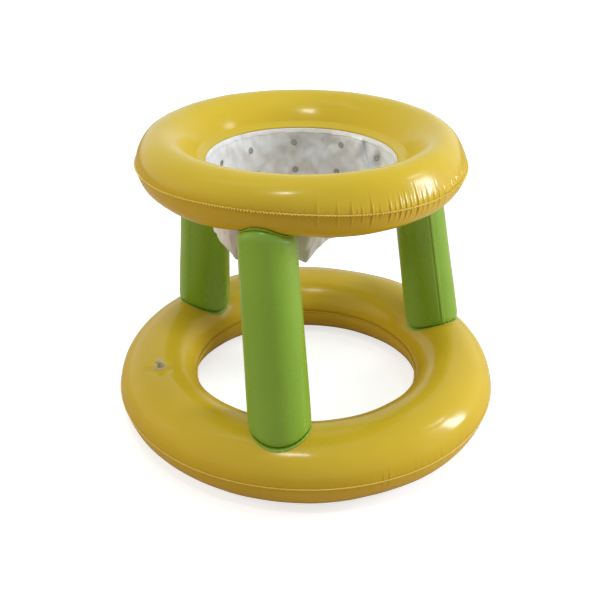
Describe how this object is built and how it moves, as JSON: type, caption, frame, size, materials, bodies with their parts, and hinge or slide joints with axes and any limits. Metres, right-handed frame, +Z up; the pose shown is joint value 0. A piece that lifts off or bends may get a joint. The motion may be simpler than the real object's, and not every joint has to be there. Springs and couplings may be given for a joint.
{
  "type": "inflatable floating basketball hoop",
  "caption": "Blow-up floating basketball hoop: wide base ring, slanting tube legs, raised hoop ring with a hanging punched skirt as its net, and push-in valves with hinged plugs.",
  "frame": {"origin": "on the floor, at the middle of the base ring", "axes": "+Z up along the axis of the base ring; -Y towards the side that the picture shows, where the front leg stands; +X to the picture's right"},
  "size_m": [0.674, 0.674, 0.5126],
  "materials": {
    "yellow_vinyl": "glossy yellow film, blown up tight, with fine puckers at the welds",
    "green_vinyl": "glossy lime green film, blown up tight",
    "white_sheet": "thin pale grey-white sheet with a soft shine",
    "clear_vinyl": "soft, slightly cloudy clear plastic"
  },
  "bodies": {
    "hoop": {"base_ring_upper_skin": "yellow_vinyl", "base_ring_lower_skin": "yellow_vinyl", "hoop_ring_upper_skin": "yellow_vinyl", "hoop_ring_lower_skin": "yellow_vinyl", "front_leg_tube": "green_vinyl", "front_leg_foot_disc": "green_vinyl", "front_leg_top_disc": "green_vinyl", "right_leg_tube": "green_vinyl", "right_leg_foot_disc": "green_vinyl", "right_leg_top_disc": "green_vinyl", "left_leg_tube": "green_vinyl", "left_leg_foot_disc": "green_vinyl", "left_leg_top_disc": "green_vinyl", "net_skirt": "white_sheet", "base_valve_seat": "clear_vinyl", "hoop_valve_seat": "clear_vinyl"},
    "base_stem": {"base_valve_stem": "clear_vinyl"},
    "base_plug": {"base_valve_plug": "clear_vinyl"},
    "base_flap": {"base_valve_flap": "clear_vinyl"},
    "hoop_stem": {"hoop_valve_stem": "clear_vinyl"},
    "hoop_plug": {"hoop_valve_plug": "clear_vinyl"},
    "hoop_flap": {"hoop_valve_flap": "clear_vinyl"}
  },
  "joints": [
    {"name": "base_stem_slide", "type": "slide", "parent": "hoop", "child": "base_stem", "axis": [0, 0, -1], "range_m": [0, 0.0075]},
    {"name": "base_plug_hinge", "type": "hinge", "parent": "base_stem", "child": "base_plug", "pos_m": [-0.25804, -0.09905, 0.13004], "axis": [0.3584, -0.9336, 0], "range_deg": [0, 160]},
    {"name": "base_flap_hinge", "type": "hinge", "parent": "base_stem", "child": "base_flap", "pos_m": [-0.25403, -0.09751, 0.10974], "axis": [-0.3584, 0.9336, 0], "range_deg": [0, 70], "stiffness_Nm_per_rad": 0.0001, "springref_deg": -5.73},
    {"name": "hoop_stem_slide", "type": "slide", "parent": "hoop", "child": "hoop_stem", "axis": [0, 0, 1], "range_m": [0, 0.0075]},
    {"name": "hoop_plug_hinge", "type": "hinge", "parent": "hoop_stem", "child": "hoop_plug", "pos_m": [0.02583, 0.22687, 0.41235], "axis": [0.9877, -0.1564, 0], "range_deg": [0, 160]},
    {"name": "hoop_flap_hinge", "type": "hinge", "parent": "hoop_stem", "child": "hoop_flap", "pos_m": [0.02516, 0.22262, 0.43265], "axis": [-0.9877, 0.1564, 0], "range_deg": [0, 70], "stiffness_Nm_per_rad": 0.0001, "springref_deg": -5.73}
  ]
}
